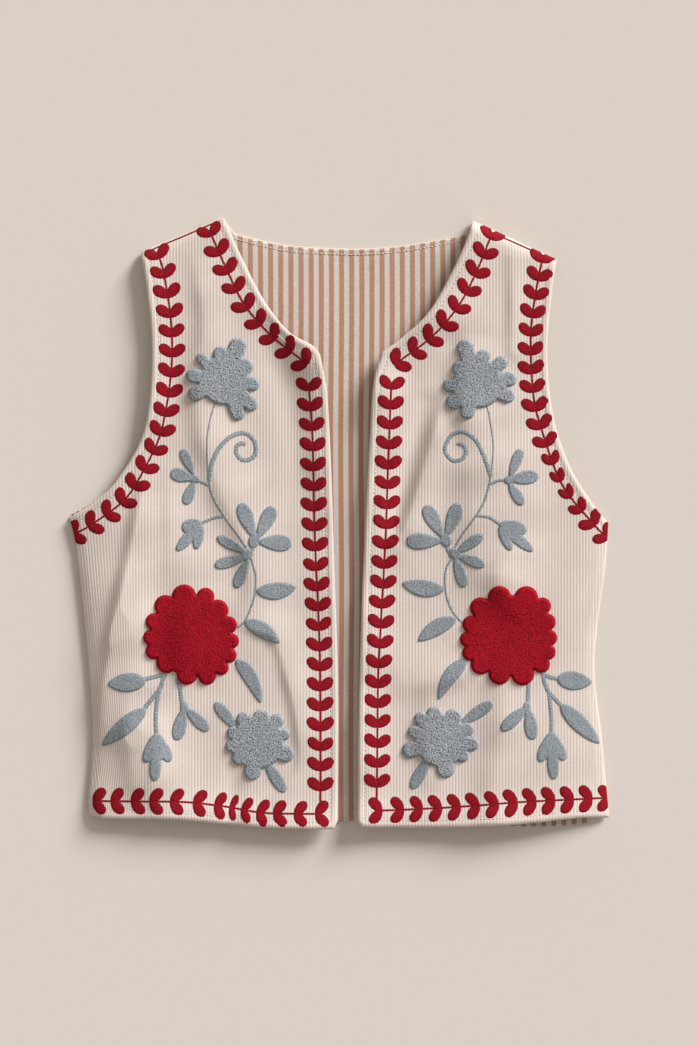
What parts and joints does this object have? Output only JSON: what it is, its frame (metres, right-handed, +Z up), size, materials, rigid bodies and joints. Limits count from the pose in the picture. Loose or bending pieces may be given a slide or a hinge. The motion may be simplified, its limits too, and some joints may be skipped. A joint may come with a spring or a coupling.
{
  "type": "corduroy waistcoat laid flat",
  "caption": "Cropped open-front sleeveless waistcoat in corduroy, laid flat, with a striped back lining and raised floral embroidery on both fronts.",
  "frame": {"origin": "middle of the garment's footprint, on the surface that it lies on", "axes": "+X to the right as seen from above, +Y from the hem to the neck, +Z up out of the fronts"},
  "size_m": [0.4716, 0.5318, 0.0111],
  "materials": {
    "corduroy": "ecru cotton corduroy with fine upright ribs, matte with a soft nap",
    "striped_lining": "plain-woven cotton with tan and cream stripes, matte",
    "red_embroidery": "crimson cotton and looped wool embroidery, matte",
    "grey_embroidery": "grey-blue boucle wool embroidery, matte",
    "thread": "cream cotton sewing thread"
  },
  "bodies": {
    "root": {"back": "corduroy", "back_lining": "striped_lining", "front_left": "corduroy", "front_right": "corduroy"}
  },
  "joints": []
}
